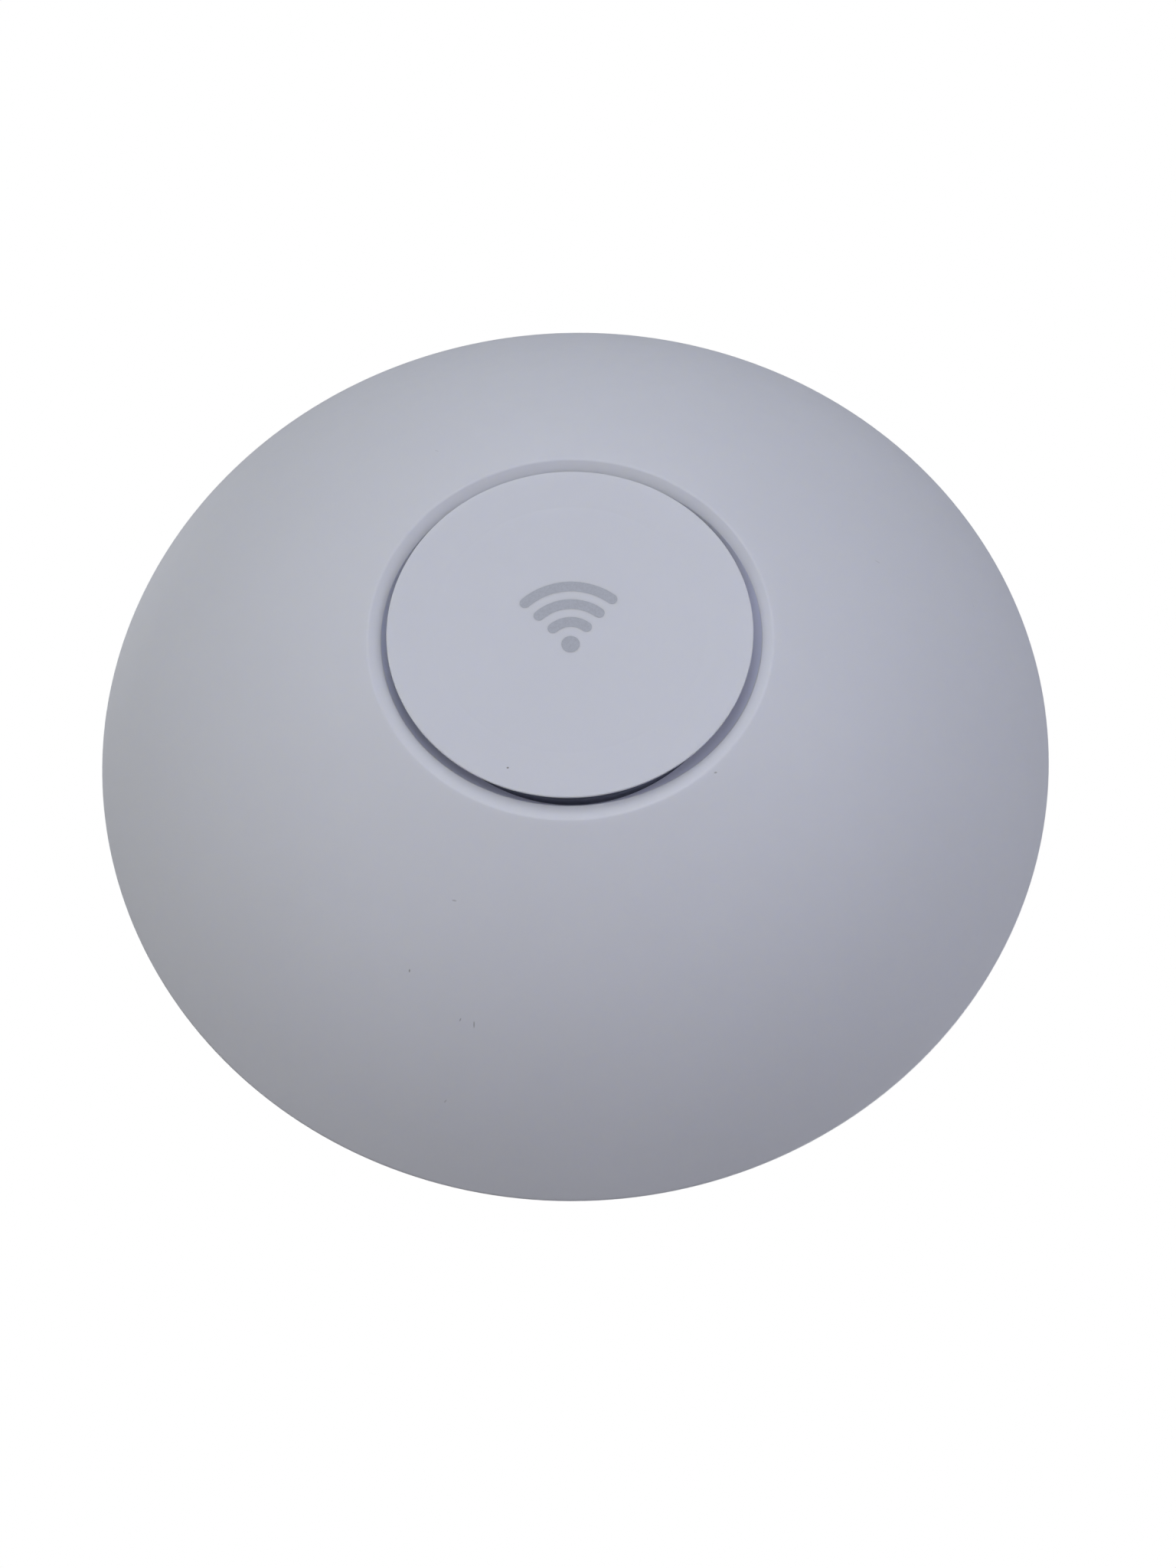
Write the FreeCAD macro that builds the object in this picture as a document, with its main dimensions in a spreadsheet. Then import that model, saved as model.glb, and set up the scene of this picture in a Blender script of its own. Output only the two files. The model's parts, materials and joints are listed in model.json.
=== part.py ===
import FreeCAD, Part
import math
import os
import Sketcher
from FreeCAD import Placement, Rotation
from FreeCAD import Vector as V

# Ceiling access point: a shallow white dome with a proud centre disc, its inner parts, and the
# twist-on bracket that stays on the ceiling.
# Frame: millimetres, origin at the centre of the bracket's flat back face (the ceiling),
# +Z out of the ceiling through the dome, -Y the side of the network socket.

doc = FreeCAD.newDocument("ceiling_access_point")
sheet = doc.addObject("Spreadsheet::Sheet", "dims")
sheet.Label = "dims"


class Dim:
    """A driving or derived size: its value now, and the sheet expression that gives it."""

    def __init__(self, value, text):
        self.value, self.text = float(value), text

    def _two(self, other, op, value, swap=False):
        a, b = (as_dim(other), self) if swap else (self, as_dim(other))
        return Dim(value(a.value, b.value), "(%s %s %s)" % (a.text, op, b.text))

    def __add__(self, o):
        return self._two(o, "+", lambda p, q: p + q)

    def __radd__(self, o):
        return self._two(o, "+", lambda p, q: p + q, True)

    def __sub__(self, o):
        return self._two(o, "-", lambda p, q: p - q)

    def __rsub__(self, o):
        return self._two(o, "-", lambda p, q: p - q, True)

    def __mul__(self, o):
        return self._two(o, "*", lambda p, q: p * q)

    def __rmul__(self, o):
        return self._two(o, "*", lambda p, q: p * q, True)

    def __truediv__(self, o):
        return self._two(o, "/", lambda p, q: p / q)

    def __neg__(self):
        return Dim(-self.value, "(0 - %s)" % self.text)


def as_dim(x):
    return x if isinstance(x, Dim) else Dim(x, "%.6g" % x if x >= 0 else "(0 - %.6g)" % -x)


def val(x):
    return as_dim(x).value


def txt(x):
    return as_dim(x).text


def root(x):
    x = as_dim(x)
    return Dim(math.sqrt(x.value), "sqrt(%s)" % x.text)


def polar_xy(r, deg):
    r, deg = as_dim(r), as_dim(deg)
    c = Dim(math.cos(math.radians(deg.value)), "cos(%s)" % deg.text)
    s = Dim(math.sin(math.radians(deg.value)), "sin(%s)" % deg.text)
    return r * c, r * s


row = [0]


def cell(name, value, note=""):
    row[0] += 1
    n = row[0]
    sheet.set("A%d" % n, name)
    sheet.set("B%d" % n, repr(value))
    sheet.setAlias("B%d" % n, name)
    sheet.set("C%d" % n, note)
    return Dim(value, "dims." + name)


# ---------------------------------------------------------------- driving sizes
rim_radius = cell("rim_radius", 103.0, "widest radius of the dome")
rim_height = cell("rim_height", 6.838, "height of the widest circle above the ceiling")
rim_bottom = cell("rim_bottom", 3.0, "lowest plane of the dome's rim")
edge_round = cell("edge_round", 1.0, "round of the dome's outer edge")
sphere_radius = cell("sphere_radius", 146.0, "radius of the dome's crown")
shell_wall = cell("shell_wall", 2.2, "dome wall")
bevel_radius = cell("bevel_radius", 39.2, "outer radius of the bevel round the recess")
lip_radius = cell("lip_radius", 37.0, "inner radius of that bevel")
lip_height = cell("lip_height", 43.4, "height of the bevel's inner edge")
well_radius = cell("well_radius", 33.0, "radius of the recess at its floor")
well_height = cell("well_height", 36.3, "height of the recess floor")
disc_radius = cell("disc_radius", 35.3, "centre disc")
disc_top = cell("disc_top", 46.0, "top of the disc, the overall height")
edge_break = cell("edge_break", 0.26, "round of the disc's upper edge")
stem_outer = cell("stem_outer", 26.0, "outer radius of the disc's stem")
stem_inner = cell("stem_inner", 24.0, "inner radius of the disc's stem")
base_radius = cell("base_radius", 98.2, "outer radius of the rear base")
base_back = cell("base_back", 0.6, "lowest plane of the rear base")
seat_radius = cell("seat_radius", 62.0, "recess in the base that takes the bracket")
seat_height = cell("seat_height", 1.6, "back plane of the base inside that recess")
floor_top = cell("floor_top", 3.6, "inner face of the base's floor")
raised_radius = cell("raised_radius", 43.0, "raised middle that clears the ceiling screws")
raised_back = cell("raised_back", 3.8, "back plane of the raised middle")
raised_top = cell("raised_top", 5.6, "inner face of the raised middle")
base_wall_top = cell("base_wall_top", 8.0, "top of the base's rim wall")
bay_half = cell("bay_half", 20.0, "half width of the port bay")
bay_near = cell("bay_near", 42.0, "distance of the socket wall from the axis")
bay_far = cell("bay_far", 72.0, "distance of the bay's far wall from the axis")
bay_top = cell("bay_top", 22.4, "height of the bay's ceiling")
bay_wall = cell("bay_wall", 1.8, "wall of the port bay")
plate_radius = cell("plate_radius", 60.0, "bracket plate")
plate_thick = cell("plate_thick", 1.5, "bracket plate thickness")
cable_hole = cell("cable_hole", 22.0, "radius of the bracket's middle hole")
notch_half = cell("notch_half", 21.5, "half width of the bracket's cable notch")
screw_pcd = cell("screw_pcd", 80.0, "circle of the ceiling screws")
screw_hole = cell("screw_hole", 2.2, "radius of a ceiling screw hole")
hook_inner = cell("hook_inner", 45.9, "inner radius of a hook's head")
hook_stem = cell("hook_stem", 48.5, "inner radius of a hook's stem")
hook_outer = cell("hook_outer", 51.5, "outer radius of a hook")
hook_angle = cell("hook_angle", 7.0, "angle a hook covers")
hook_first = cell("hook_first", 90.0, "angle of the first hook")
hook_count = cell("hook_count", 3)
twist_range = cell("twist_range", 20.0, "turn from locked to released")
board_radius = cell("board_radius", 78.0, "main board")
board_z = cell("board_z", 7.0, "underside of the main board")
board_thick = cell("board_thick", 1.6)
plate_z = cell("heat_plate_z", 12.0, "underside of the heat plate")
heat_thick = cell("heat_plate_thick", 2.0)
heat_radius = cell("heat_plate_radius", 72.0)
deck_z = cell("deck_z", 16.0, "underside of the antenna deck")
deck_thick = cell("deck_thick", 1.6)
deck_radius = cell("deck_radius", 64.0)
hub_outer = cell("hub_outer", 30.0, "outer radius of the deck's hub")
hub_inner = cell("hub_inner", 28.0)
led_z = cell("led_board_z", 31.4, "underside of the light board")
led_thick = cell("led_board_thick", 1.6)
case_screw_circle = cell("case_screw_circle", 88.0, "radius of the case screw circle")
boss_half = cell("boss_half", 3.5, "half width of a dome boss")
pivot_x = cell("latch_pivot_x", 54.5, "latch root")
pivot_y = cell("latch_pivot_y", -20.0)
latch_ratio = cell("latch_ratio", 0.25, "latch turn per turn of the dome")
antenna_circle = cell("antenna_circle", 53.0, "radius of the antennas' legs")
connector_circle = cell("connector_circle", 75.5, "radius of the cable sockets")
coax_radius = cell("coax_radius", 0.6, "antenna cable")
doc.recompute()

board_top = board_z + board_thick
heat_top = plate_z + heat_thick
deck_top = deck_z + deck_thick
led_top = led_z + led_thick

sub_parts = []


# ---------------------------------------------------------------- helpers
def new_body(label):
    body = doc.addObject("PartDesign::Body", label)
    body.Label = label
    body.AllowCompound = True
    sub_parts.append(body)
    return body


def plane(body, role):
    return [f for f in body.Origin.OriginFeatures if f.Role == role][0]


serial = [0]


def new_sketch(body, role, offset=None, turn=None):
    """A sketch on one of the body's own planes, moved along its normal or turned about Z."""
    serial[0] += 1
    sk = body.newObject("Sketcher::SketchObject", "sketch_%s_%d" % (body.Label, serial[0]))
    sk.AttachmentSupport = [(plane(body, role), "")]
    sk.MapMode = "FlatFace"
    if turn is not None:
        sk.AttachmentOffset = Placement(V(0, 0, 0), Rotation(V(0, 1, 0), val(turn)))
        sk.setExpression("AttachmentOffset.Rotation.Angle", txt(turn))
    elif offset is not None:
        sk.AttachmentOffset = Placement(V(0, 0, val(offset)), Rotation())
        sk.setExpression("AttachmentOffset.Base.z", txt(offset))
    return sk


def pin_point(sk, geo, pos, x, y):
    for kind, v in (("DistanceX", x), ("DistanceY", y)):
        n = sk.addConstraint(Sketcher.Constraint(kind, -1, 1, geo, pos, val(v)))
        if isinstance(v, Dim):
            sk.setExpression("Constraints[%d]" % n, v.text)


def outline(sk, points):
    """A closed loop. A point (x, y, R) is reached by an arc of radius R: left-handed if R > 0."""
    n = len(points)
    edges = []
    for k in range(n):
        p, q = points[k], points[(k + 1) % n]
        a, b = V(val(p[0]), val(p[1]), 0), V(val(q[0]), val(q[1]), 0)
        if len(q) < 3:
            edges.append((sk.addGeometry(Part.LineSegment(a, b)), 1, 2, None))
            continue
        r = val(q[2])
        mid, half = (a + b) * 0.5, (b - a).Length / 2
        left = V(-(b - a).y, (b - a).x, 0).normalize()
        c = mid + left * math.copysign(math.sqrt(r * r - half * half), r)
        a0, a1 = math.atan2(a.y - c.y, a.x - c.x), math.atan2(b.y - c.y, b.x - c.x)
        if r < 0:
            a0, a1 = a1, a0
        if a1 < a0:
            a1 += 2 * math.pi
        geo = sk.addGeometry(Part.ArcOfCircle(Part.Circle(c, V(0, 0, 1), abs(r)), a0, a1))
        edges.append((geo, 1, 2, q[2]) if r > 0 else (geo, 2, 1, q[2]))
    for k in range(n):
        g, _, end, _ = edges[k]
        g2, start, _, _ = edges[(k + 1) % n]
        sk.addConstraint(Sketcher.Constraint("Coincident", g, end, g2, start))
    for k in range(n):
        g, start, _, r = edges[k]
        pin_point(sk, g, start, points[k][0], points[k][1])
        if r is not None:
            i = sk.addConstraint(Sketcher.Constraint("Radius", g, abs(val(r))))
            sk.setExpression("Constraints[%d]" % i, txt(r) if val(r) > 0 else txt(-as_dim(r)))


def rect(sk, x0, y0, x1, y1):
    outline(sk, [(x0, y0), (x1, y0), (x1, y1), (x0, y1)])


def circle(sk, x, y, r):
    g = sk.addGeometry(Part.Circle(V(val(x), val(y), 0), V(0, 0, 1), val(r)))
    n = sk.addConstraint(Sketcher.Constraint("Radius", g, val(r)))
    if isinstance(r, Dim):
        sk.setExpression("Constraints[%d]" % n, r.text)
    pin_point(sk, g, 3, x, y)


def set_size(feature, prop, v):
    setattr(feature, prop, int(val(v)) if prop == "Occurrences" else val(v))
    if isinstance(v, Dim):
        feature.setExpression(prop, v.text)


def volume(body):
    return 0.0 if body.Shape.isNull() else body.Shape.Volume


def feature(body, kind, sk, adds, **sizes):
    """One PartDesign feature on the body, with a test that it changed the solid the right way."""
    doc.recompute()
    before = volume(body)
    serial[0] += 1
    f = body.newObject("PartDesign::" + kind, "%s_%s_%d" % (kind.lower(), body.Label, serial[0]))
    f.Profile = sk
    for key, v in sizes.items():
        if key in ("Length", "Angle"):
            set_size(f, key, v)
        else:
            setattr(f, key, v)
    doc.recompute()
    after = volume(body)
    if (after <= before + 1e-6) if adds else (after >= before - 1e-6):
        raise RuntimeError("%s changed nothing: %g to %g" % (f.Name, before, after))
    return f


def pad(body, sk, length, **kw):
    return feature(body, "Pad", sk, True, Length=length, **kw)


def pocket(body, sk, length, **kw):
    """Cuts upwards, away from the sketch's plane."""
    kw.setdefault("Reversed", True)
    return feature(body, "Pocket", sk, False, Length=length, **kw)


def revolve(body, sk, angle=360.0, **kw):
    return feature(body, "Revolution", sk, True, ReferenceAxis=(plane(body, "Z_Axis"), [""]), Angle=angle, **kw)


def groove(body, sk, angle=360.0, **kw):
    return feature(body, "Groove", sk, False, ReferenceAxis=(plane(body, "Z_Axis"), [""]), Angle=angle, **kw)


def polar(body, features, count, angle=360.0):
    serial[0] += 1
    f = body.newObject("PartDesign::PolarPattern", "polar_%s_%d" % (body.Label, serial[0]))
    f.Originals = features
    f.Axis = (plane(body, "Z_Axis"), [""])
    set_size(f, "Angle", angle)
    set_size(f, "Occurrences", count)
    body.Tip = f
    doc.recompute()
    return f


def block(body, x0, y0, x1, y1, z0, height):
    """A box-shaped pad standing on the plane z0."""
    sk = new_sketch(body, "XY_Plane", z0)
    rect(sk, x0, y0, x1, y1)
    return pad(body, sk, height)


def cut_block(body, x0, y0, x1, y1, z0, height):
    sk = new_sketch(body, "XY_Plane", z0)
    rect(sk, x0, y0, x1, y1)
    return pocket(body, sk, height)


def posts(body, places, r, z0, height):
    sk = new_sketch(body, "XY_Plane", z0)
    for x, y in places:
        circle(sk, x, y, r)
    return pad(body, sk, height)


def drill(body, places, r, z0, height):
    sk = new_sketch(body, "XY_Plane", z0)
    for x, y in places:
        circle(sk, x, y, r)
    return pocket(body, sk, height)


def ring(body, profile, role="XZ_Plane"):
    sk = new_sketch(body, role)
    outline(sk, profile)
    return revolve(body, sk)


def cross_recess(body, places, z0, depth, size):
    """The driver recess of a screw head: two crossed slots."""
    for a, b in ((size, size * 0.28), (size * 0.28, size)):
        for x, y in places:
            cut_block(body, x - a, y - b, x + a, y + b, z0, depth)


def screws(label, places, shank_r, shank_z0, shank_len, head_r, head_z0, head_h, recess_up):
    """Identical screws as one group. The recess is cut in the head's outer face."""
    body = new_body(label)
    posts(body, places, shank_r, shank_z0, shank_len)
    posts(body, places, head_r, head_z0, head_h)
    depth = 0.8
    cross_recess(body, places, head_z0 + head_h - depth if recess_up else head_z0, depth, head_r * 0.62)
    return body


case_places = [polar_xy(case_screw_circle, 45.0 + 90.0 * k) for k in range(4)]
board_places = [(58.0, 6.0), (-58.0, -12.0), (30.0, 59.0), (-30.0, 59.0)]
deck_places = [(46.0, 2.0), (-46.0, 2.0), (0.0, 37.0), (-34.0, -30.0)]

# ---------------------------------------------------------------- mounting bracket
# A stamped steel plate with a cable hole and notch, four ceiling screw holes, three hooks that
# stand up through the base's floor, and the cut-out in which the latch tongue works.
bracket = new_body("mounting_bracket")
ring(bracket, [(cable_hole, 0), (plate_radius, 0), (plate_radius, plate_thick), (cable_hole, plate_thick)])
cut_block(bracket, -notch_half, -plate_radius - 5, notch_half, 0, -1, 4)
sk = new_sketch(bracket, "XY_Plane", -1)
for k in range(4):
    x, y = polar_xy(screw_pcd / 2, 45.0 + 90.0 * k)
    circle(sk, x, y, screw_hole)
pocket(bracket, sk, 4)
# lightening slots between the screw holes
sk = new_sketch(bracket, "XY_Plane", -1)
rect(sk, -36.0, -3.5, -28.0, 3.5)
rect(sk, 28.0, -3.5, 36.0, 3.5)
rect(sk, -12.0, 28.0, 12.0, 34.0)
pocket(bracket, sk, 4)
sk = new_sketch(bracket, "XY_Plane", -1)
outline(sk, [(52.0, -22.6), (61.0, -22.6), (61.0, 3.0), (55.6, 3.0), (53.0, -16.0), (52.0, -18.0)])
pocket(bracket, sk, 4)
posts(bracket, [(pivot_x, pivot_y)], 0.9, 0.1, plate_thick - 0.2)
block(bracket, 51.5, pivot_y - 0.6, pivot_x, pivot_y + 0.6, 0.1, 0.4)
sk = new_sketch(bracket, "XZ_Plane", turn=hook_first)
outline(
    sk,
    [
        (hook_stem, plate_thick - 0.5),
        (hook_outer, plate_thick - 0.5),
        (hook_outer, floor_top + 1.4),
        (hook_inner, floor_top + 1.4),
        (hook_inner, floor_top + 0.15),
        (hook_stem, floor_top + 0.15),
    ],
)
hook = revolve(bracket, sk, hook_angle, Midplane=True)
polar(bracket, [hook], hook_count)

# ---------------------------------------------------------------- latch tongue
# The springy arm of the bracket. Its tooth rests in the base's ramped notch.
latch = new_body("lock_latch")
sk = new_sketch(latch, "XY_Plane", 0.5)
outline(
    sk,
    [
        (pivot_x + 1.35, pivot_y - 1.2),
        (pivot_x + 1.35, pivot_y + 1.2),
        (60.4, -1.4),
        (62.3, -1.2),
        (63.1, -0.5),
        (63.1, 0.5),
        (62.3, 1.2),
        (60.4, 1.4),
        (58.0, 1.4),
        (pivot_x - 1.5, pivot_y + 1.5),
        (pivot_x - 1.5, pivot_y - 1.2),
    ],
)
pad(latch, sk, plate_thick - 0.5)
drill(latch, [(pivot_x, pivot_y)], 0.98, 0, 3)

# ---------------------------------------------------------------- rear base
base = new_body("rear_base")
ring(
    base,
    [
        (0, raised_back),
        (raised_radius, raised_back),
        (raised_radius, seat_height),
        (seat_radius, seat_height),
        (seat_radius, base_back),
        (93.0, base_back),
        (base_radius, base_back + 2.8),
        (base_radius, base_wall_top),
        (base_radius - 2, base_wall_top),
        (base_radius - 2, floor_top + 1),
        (base_radius - 3, floor_top),
        (raised_radius + 1.8, floor_top),
        (raised_radius + 1.8, raised_top),
        (0, raised_top),
    ],
)
# port bay: a box that stands up inside and opens through the back
block(base, -bay_half - bay_wall, -bay_far - bay_wall, bay_half + bay_wall, -bay_near + bay_wall, floor_top - 1, bay_top + bay_wall - 0.2 - (floor_top - 1))
cut_block(base, -bay_half, -bay_far, bay_half, -bay_near, -1, bay_top + 1)
# window for the socket and hole for the reset button, through the wall nearest the axis
cut_block(base, -8.2, -bay_near - 0.5, 8.2, -bay_near + bay_wall + 0.5, 8.4, 13.9)
sk = new_sketch(base, "XZ_Plane", offset=bay_near + 1)
circle(sk, 14.0, 12.0, 1.25)
pocket(base, sk, bay_wall + 3, Reversed=False)
# board standoffs, with screw pilots
posts(base, board_places, 3.2, floor_top - 1, board_z - floor_top + 1)
drill(base, board_places, 1.15, floor_top + 0.4, 5)
# case screw holes and their counterbores
drill(base, case_places, 1.5, -1, 6)
drill(base, case_places, 3.1, -1, base_back + 1 + 1.6)
# hook slots: a run the stem follows, and a wider entry for the head
sk = new_sketch(base, "XZ_Plane", turn=hook_first - twist_range / 2)
rect(sk, hook_stem - 0.3, -1, hook_outer + 0.3, floor_top + 1)
run = groove(base, sk, twist_range + hook_angle + 1.2, Midplane=True)
sk = new_sketch(base, "XZ_Plane", turn=hook_first - twist_range)
rect(sk, hook_inner - 0.4, -1, hook_outer + 0.3, floor_top + 1)
entry = groove(base, sk, hook_angle + 1.2, Midplane=True)
polar(base, [run, entry], hook_count)
# ramped notch for the latch's tooth, in the wall round the bracket's recess
ramp = [polar_xy(seat_radius - 0.5, 2.0), polar_xy(63.6, 2.0)]
ramp += [polar_xy(63.6 - 0.0976 * k * 3.28, -1.6 - k * 3.28) for k in range(6)]
ramp += [polar_xy(seat_radius - 0.5, -18.0)] + [polar_xy(seat_radius - 0.5, -14.0 + 4 * k) for k in range(4)]
sk = new_sketch(base, "XY_Plane", -0.5)
outline(sk, ramp)
pocket(base, sk, seat_height + 0.5)
# ribs that stiffen the floor, clear of slots, standoffs and bay
for x0, y0, x1, y1 in ((-90.0, -1.0, -68.0, 1.0), (68.0, -1.0, 90.0, 1.0), (-1.0, 72.0, 1.0, 90.0)):
    block(base, x0, y0, x1, y1, floor_top - 0.5, 2.3)

# ---------------------------------------------------------------- rating label (blank)
label = new_body("rating_label")
block(label, -17.0, 69.0, 17.0, 83.0, base_back - 0.15, 0.15)

# ---------------------------------------------------------------- dome cover
crown_z = rim_height - root((sphere_radius - edge_round) * (sphere_radius - edge_round) - (rim_radius - edge_round) * (rim_radius - edge_round))
scale = sphere_radius / (sphere_radius - edge_round)
inner_radius = sphere_radius - shell_wall


def crown(radius, r):
    """Height of a crown of that radius at distance r from the axis."""
    return crown_z + root(radius * radius - r * r)


skirt_radius = base_radius + 0.3
cone_r = 1.4
slant = 0.70711 * edge_round
rim_foot = rim_radius - edge_round + slant - (rim_height - slant - rim_bottom)
dome = new_body("dome_cover")
ring(
    dome,
    [
        (well_radius, well_height - 1.5),
        (well_radius + cone_r, well_height - 1.5),
        (lip_radius + 1.75, crown(inner_radius, lip_radius + 1.75)),
        (skirt_radius, crown(inner_radius, skirt_radius), -inner_radius),
        (skirt_radius, rim_bottom),
        (rim_foot, rim_bottom),
        (rim_radius - edge_round + slant, rim_height - slant),
        ((rim_radius - edge_round) * scale, crown_z + (rim_height - crown_z) * scale, edge_round),
        (bevel_radius, crown(sphere_radius, bevel_radius), sphere_radius),
        (lip_radius, lip_height),
        (well_radius, well_height),
    ],
)
# four screw bosses hang from the dome, each a block that ends inside the wall
sk = new_sketch(dome, "XZ_Plane", turn=45.0)
lo, hi = case_screw_circle - boss_half, case_screw_circle + boss_half
outline(
    sk,
    [
        (lo, floor_top + 0.1),
        (hi, floor_top + 0.1),
        (hi, crown(inner_radius, hi) + 1.2),
        (lo, crown(inner_radius, lo) + 1.2),
    ],
)
boss = revolve(dome, sk, 4.6, Midplane=True)
polar(dome, [boss], 4)
drill(dome, case_places, 1.25, floor_top - 1, 9.6)

# ---------------------------------------------------------------- centre disc
disc = new_body("centre_disc")
ring(
    disc,
    [
        (0, disc_top - 2),
        (stem_inner, disc_top - 2),
        (stem_inner, led_z - 1.6),
        (stem_outer, led_z - 1.6),
        (stem_outer, disc_top - 2.2),
        (disc_radius - 1.9, disc_top - 2.0),
        (disc_radius, disc_top - 0.45),
        (disc_radius, disc_top - edge_break),
        (disc_radius - edge_break, disc_top, edge_break),
        (0, disc_top),
    ],
)
# three snap hooks under the light board
sk = new_sketch(disc, "XZ_Plane")
outline(sk, [(stem_outer - 0.5, led_z - 1.6), (stem_outer + 0.4, led_z - 1.6), (stem_outer + 1.3, led_z - 0.4), (stem_outer + 1.3, led_z - 0.1), (stem_outer - 0.5, led_z - 0.1)])
snap = revolve(disc, sk, 16.0, Midplane=True)
polar(disc, [snap], 3)
# the stem is slotted into six legs so that it can snap in
sk = new_sketch(disc, "XZ_Plane", turn=30.0)
rect(sk, stem_inner - 1, led_z - 3, stem_outer + 1, disc_top - 5.5)
slit = groove(disc, sk, 20.0, Midplane=True)
polar(disc, [slit], 6)

# ---------------------------------------------------------------- light ring and its board
light = new_body("light_ring")
ring(
    light,
    [
        (stem_outer + 0.15, led_top),
        (28.4, led_top),
        (28.4, led_top + 1.2),
        (31.6, led_top + 1.2),
        (31.6, led_top),
        (well_radius + 2.5, led_top),
        (well_radius + 2.5, well_height - 1.6),
        (well_radius - 0.15, well_height - 1.6),
        (well_radius - 0.15, well_height),
        (stem_outer + 0.15, well_height),
    ],
)

led_board = new_body("led_board")
ring(led_board, [(stem_outer + 0.5, led_z), (35.0, led_z), (35.0, led_top), (stem_outer + 0.5, led_top)])

leds = new_body("leds")
first = block(leds, 29.1, -1.0, 30.9, 1.0, led_top, 0.8)
polar(leds, [first], 8)

led_cable = new_body("led_cable")
sk = new_sketch(led_cable, "YZ_Plane")
outline(
    sk,
    [
        (24.0, 10.6),
        (24.3, 10.6),
        (24.3, 24.0),
        (29.3, 28.4),
        (29.3, led_z),
        (29.0, led_z),
        (29.0, 28.6),
        (24.0, 24.2),
    ],
)
pad(led_cable, sk, 7.0, Midplane=True)

led_socket = new_body("led_socket")
block(led_socket, -5.0, 22.4, 5.0, 25.9, board_top, 10.6 - board_top)

# ---------------------------------------------------------------- antenna deck
deck = new_body("antenna_deck")
ring(
    deck,
    [
        (stem_inner, deck_z),
        (deck_radius, deck_z),
        (deck_radius, deck_top),
        (hub_outer, deck_top),
        (hub_outer, led_z),
        (hub_inner, led_z),
        (hub_inner, deck_top),
        (stem_inner, deck_top),
    ],
)
cut_block(deck, -23.5, -70, 57.0, -19.5, deck_z - 1, deck_thick + 2)
cut_block(deck, -4.5, 22.0, 4.5, 26.5, deck_z - 1, deck_thick + 2)
cut_block(deck, -10, -36, 10, -18, deck_z - 1, 24.0 - deck_z + 1)
cut_block(deck, -4.2, 20.0, 4.2, 31.0, 23.0, 10)
posts(deck, deck_places, 3.2, heat_top, deck_z - heat_top + 0.4)
drill(deck, deck_places, 1.4, heat_top - 1, 8)

# stamped antennas: a foot on the deck, an upright and a folded top
for name, turn, top, reach, width in (("antennas_2g", None, 27.0, 8.0, 16.0), ("antennas_5g", 30.0, 23.0, 6.0, 9.0)):
    body = new_body(name)
    sk = new_sketch(body, "XZ_Plane", turn=turn)
    a = antenna_circle
    outline(
        sk,
        [
            (a, deck_top),
            (a + 5.5, deck_top),
            (a + 5.5, deck_top + 0.4),
            (a + 0.4, deck_top + 0.4),
            (a + 0.4, top - 0.4),
            (a + reach, top - 0.4),
            (a + reach, top),
            (a, top),
        ],
    )
    leaf = pad(body, sk, width, Midplane=True)
    polar(body, [leaf], 4, 180.0)

# cable sockets on the board, one for each antenna, and the coax from each antenna to its socket
socket = new_body("coax_sockets")
places = [polar_xy(connector_circle, 30.0 * k) for k in range(8)]
posts(socket, places, 1.3, board_top, 1.6)

coax = new_body("antenna_cables")
bend = 4.0
tails = []
for k, turn in enumerate((None, 30.0)):
    spine = new_sketch(coax, "XZ_Plane", turn=turn)
    x0, zc = antenna_circle + 3.4, deck_top + 0.4 + coax_radius
    p = [V(val(x0), val(zc), 0), V(val(connector_circle) - bend, val(zc), 0), V(val(connector_circle), val(zc) - bend, 0), V(val(connector_circle), val(board_top) + 1.6, 0)]
    l1 = spine.addGeometry(Part.LineSegment(p[0], p[1]))
    c = V(p[1].x, p[1].y - bend, 0)
    ar = spine.addGeometry(Part.ArcOfCircle(Part.Circle(c, V(0, 0, 1), bend), 0, math.pi / 2))
    l2 = spine.addGeometry(Part.LineSegment(p[2], p[3]))
    spine.addConstraint(Sketcher.Constraint("Coincident", l1, 2, ar, 2))
    spine.addConstraint(Sketcher.Constraint("Coincident", ar, 1, l2, 1))
    pin_point(spine, l1, 1, x0, zc)
    pin_point(spine, l1, 2, connector_circle - bend, zc)
    pin_point(spine, l2, 1, connector_circle, zc - bend)
    pin_point(spine, l2, 2, connector_circle, board_top + 1.6)
    spine.addConstraint(Sketcher.Constraint("Radius", ar, bend))
    face = new_sketch(coax, "XY_Plane", board_top + 1.6)
    cx, cy = polar_xy(connector_circle, 0.0 if turn is None else turn)
    circle(face, cx, cy, coax_radius)
    doc.recompute()
    pipe = coax.newObject("PartDesign::AdditivePipe", "pipe_%d" % k)
    pipe.Profile = face
    pipe.Spine = (spine, [])
    doc.recompute()
    tails.append(polar(coax, [pipe], 4, 180.0))

screws("deck_screws", deck_places, 1.15, plate_z + 0.3, deck_top - plate_z - 0.3, 2.5, deck_top, 1.5, True)

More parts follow.
